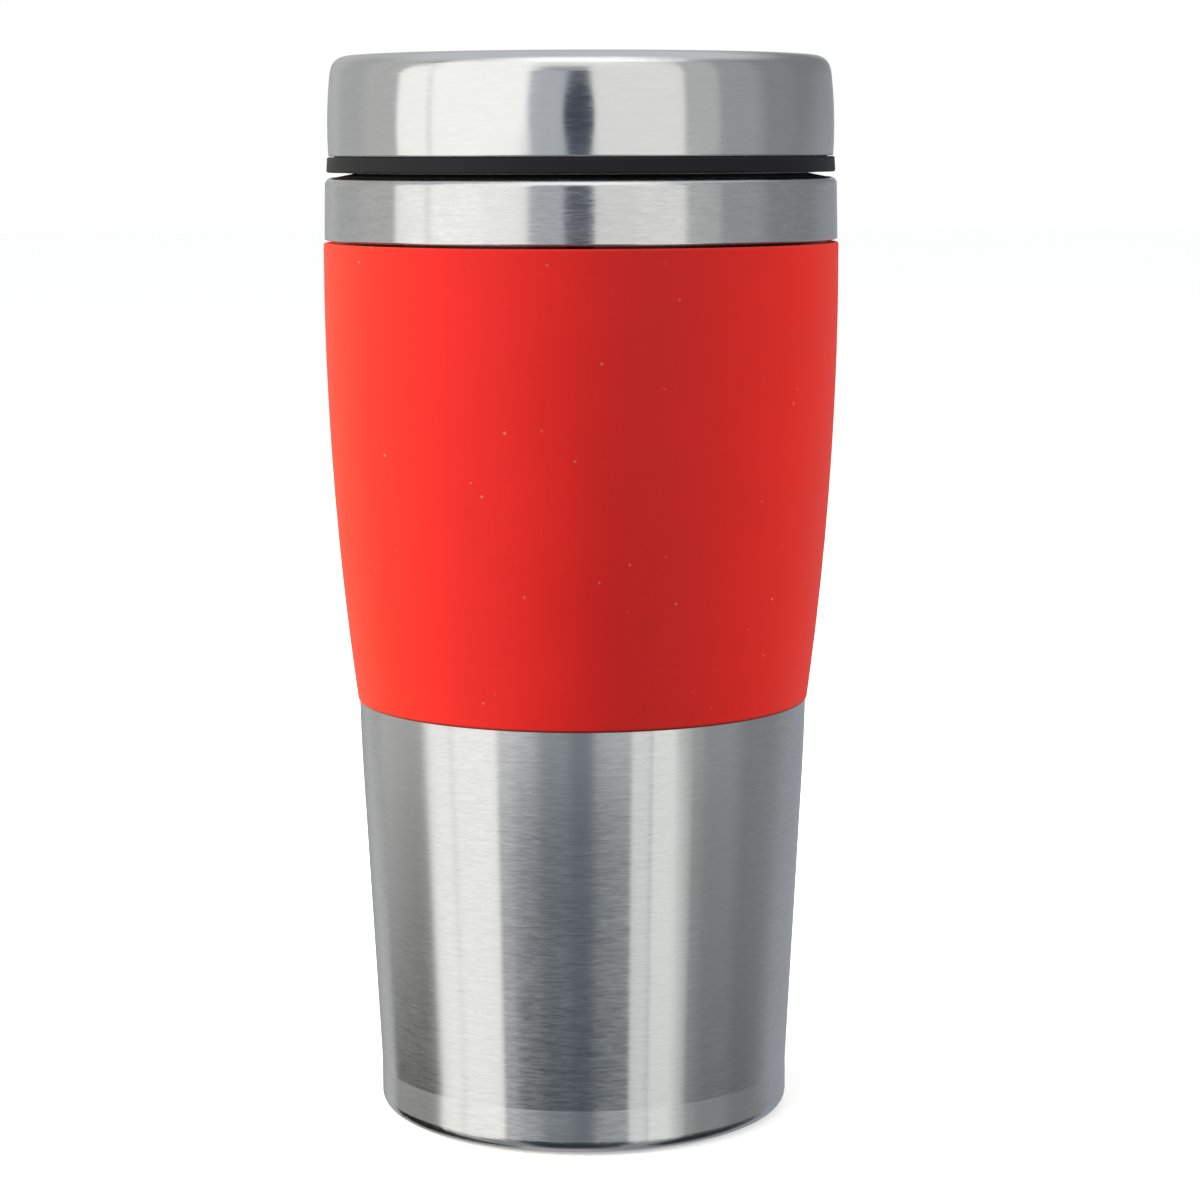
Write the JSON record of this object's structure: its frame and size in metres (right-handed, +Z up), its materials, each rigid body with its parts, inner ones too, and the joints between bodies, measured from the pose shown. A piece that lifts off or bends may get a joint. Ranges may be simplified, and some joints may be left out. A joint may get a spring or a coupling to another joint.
{
  "type": "insulated travel mug",
  "caption": "Tall tapered double-wall steel travel mug with a silicone grip sleeve and a screw-on lid closed by a thumb slider.",
  "frame": {"origin": "centre of the foot, on the surface that the mug stands on", "axes": "+Z up along the mug's axis; -Y is the drinking side, where the drink hole in the lid is; +X to the right seen from that side"},
  "size_m": [0.085, 0.085, 0.1761],
  "materials": {
    "brushed_steel": "fine circumferential brushing",
    "polished_steel": "bright, lightly brushed and polished",
    "liner_steel": "satin drawn stainless",
    "red_grip": "satin silicone with fine matte grain",
    "black_plastic": "fine spark-eroded moulding texture",
    "slider_plastic": "semi-matte moulded plastic",
    "silicone": "matte translucent-grey silicone",
    "pad_rubber": "matte non-slip rubber",
    "foam": "rigid closed-cell foam",
    "screw_steel": "plated steel"
  },
  "bodies": {
    "mug": {"outer_shell": "brushed_steel", "base_plate": "brushed_steel", "base_pad": "pad_rubber", "grip_sleeve": "red_grip", "collar_ring": "brushed_steel", "liner": "liner_steel", "liner_seal": "silicone", "neck_ring": "black_plastic", "insulation_sleeve": "foam", "insulation_disc": "foam"},
    "gasket": {"lid_gasket": "silicone"},
    "lid": {"lid_cap": "polished_steel", "lid_body": "black_plastic", "lid_deck": "black_plastic", "track_tray": "black_plastic", "tray_screws": "screw_steel", "lid_insulation": "foam", "inner_cover": "black_plastic", "cover_seal": "silicone"},
    "slider": {"thumb_slider": "slider_plastic", "slider_seal": "silicone", "slider_clip": "slider_plastic"}
  },
  "joints": [
    {"name": "lid_lift", "type": "slide", "parent": "mug", "child": "gasket", "axis": [0, 0, 1], "range_m": [0, 0.00801]},
    {"name": "lid_turn", "type": "hinge", "parent": "gasket", "child": "lid", "pos_m": [0, 0, 0.16], "axis": [0, 0, 1], "range_deg": [0, 240]},
    {"name": "slider_slide", "type": "slide", "parent": "lid", "child": "slider", "axis": [0, 1, 0], "range_m": [0, 0.014]}
  ],
  "couplings": [
    {"joint": "lid_lift", "follows": "lid_turn", "m_per_rad": 0.0019099}
  ]
}
